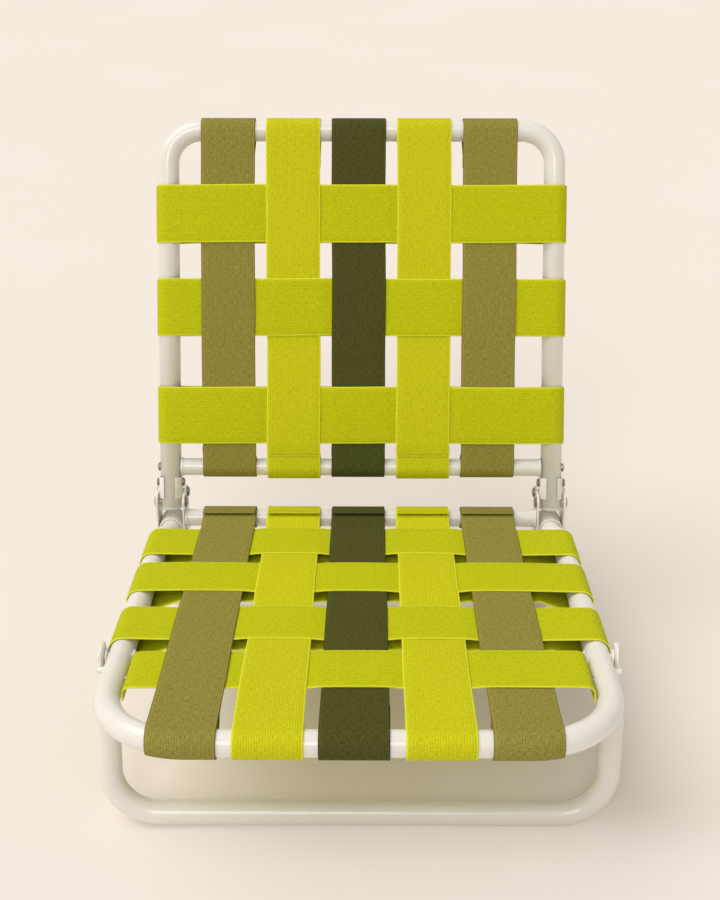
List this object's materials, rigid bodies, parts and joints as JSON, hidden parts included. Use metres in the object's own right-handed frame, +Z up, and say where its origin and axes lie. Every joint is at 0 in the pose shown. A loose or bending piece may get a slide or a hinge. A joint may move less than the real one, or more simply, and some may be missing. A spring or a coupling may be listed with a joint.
{
  "type": "folding webbed chair",
  "caption": "Low armless folding chair with bent tube frames, woven flat webbing on seat and back, a back that folds onto the seat and legs that fold under it.",
  "frame": {"origin": "on the ground below the middle of the part's box", "axes": "+Z up, the sitter faces -Y, +X is the viewer's right when looking at the chair's front"},
  "size_m": [0.52, 0.6482, 0.5957],
  "materials": {
    "paint": "semi-gloss cream paint",
    "steel": "zinc-plated",
    "plastic": "satin",
    "lime_webbing": "woven",
    "olive_webbing": "woven",
    "green_webbing": "woven"
  },
  "bodies": {
    "seat": {"back_pivot_bolt_left": "steel", "back_pivot_bolt_right": "steel", "back_stop_pin_left": "steel", "back_stop_pin_right": "steel", "front_leg_bolt_left": "steel", "front_leg_bolt_right": "steel", "front_leg_stop_pin_left": "steel", "front_leg_stop_pin_right": "steel", "hinge_plate_inner_left": "paint", "hinge_plate_inner_right": "paint", "hinge_plate_outer_left": "paint", "hinge_plate_outer_right": "paint", "hinge_rivet_front_left": "steel", "hinge_rivet_front_right": "steel", "hinge_rivet_rear_left": "steel", "hinge_rivet_rear_right": "steel", "rail_cap_left": "plastic", "rail_cap_right": "plastic", "rear_leg_bolt_left": "steel", "rear_leg_bolt_right": "steel", "rear_leg_stop_pin_left": "steel", "rear_leg_stop_pin_right": "steel", "seat_cross_strap_1": "lime_webbing", "seat_cross_strap_2": "lime_webbing", "seat_cross_strap_3": "lime_webbing", "seat_cross_strap_4": "lime_webbing", "seat_frame": "paint", "seat_long_strap_1": "olive_webbing", "seat_long_strap_2": "lime_webbing", "seat_long_strap_3": "green_webbing", "seat_long_strap_4": "lime_webbing", "seat_long_strap_5": "olive_webbing", "seat_rear_crossbar": "paint", "strap_screw_left": "steel", "strap_screw_right": "steel"},
    "back": {"back_bracket_left": "paint", "back_bracket_right": "paint", "back_cross_strap_1": "lime_webbing", "back_cross_strap_2": "lime_webbing", "back_cross_strap_3": "lime_webbing", "back_crossbar": "paint", "back_frame": "paint", "back_long_strap_1": "olive_webbing", "back_long_strap_2": "lime_webbing", "back_long_strap_3": "green_webbing", "back_long_strap_4": "lime_webbing", "back_long_strap_5": "olive_webbing", "bracket_rivet_left": "steel", "bracket_rivet_right": "steel", "crossbar_bolt_left": "steel", "crossbar_bolt_right": "steel", "upright_plug_left": "plastic", "upright_plug_right": "plastic"},
    "front_leg": {"front_leg_frame": "paint"},
    "rear_leg": {"rear_leg_cap_left": "plastic", "rear_leg_cap_right": "plastic", "rear_leg_frame": "paint"}
  },
  "joints": [
    {"name": "back_fold", "type": "hinge", "parent": "seat", "child": "back", "pos_m": [0, 0.14718, 0.18314], "axis": [1, 0, 0], "range_deg": [0, 104.5]},
    {"name": "front_leg_fold", "type": "hinge", "parent": "seat", "child": "front_leg", "pos_m": [0, -0.16206, 0.18008], "axis": [1, 0, 0], "range_deg": [0, 72]},
    {"name": "rear_leg_fold", "type": "hinge", "parent": "seat", "child": "rear_leg", "pos_m": [0, 0.14195, 0.12337], "axis": [-1, 0, 0], "range_deg": [0, 107]}
  ]
}
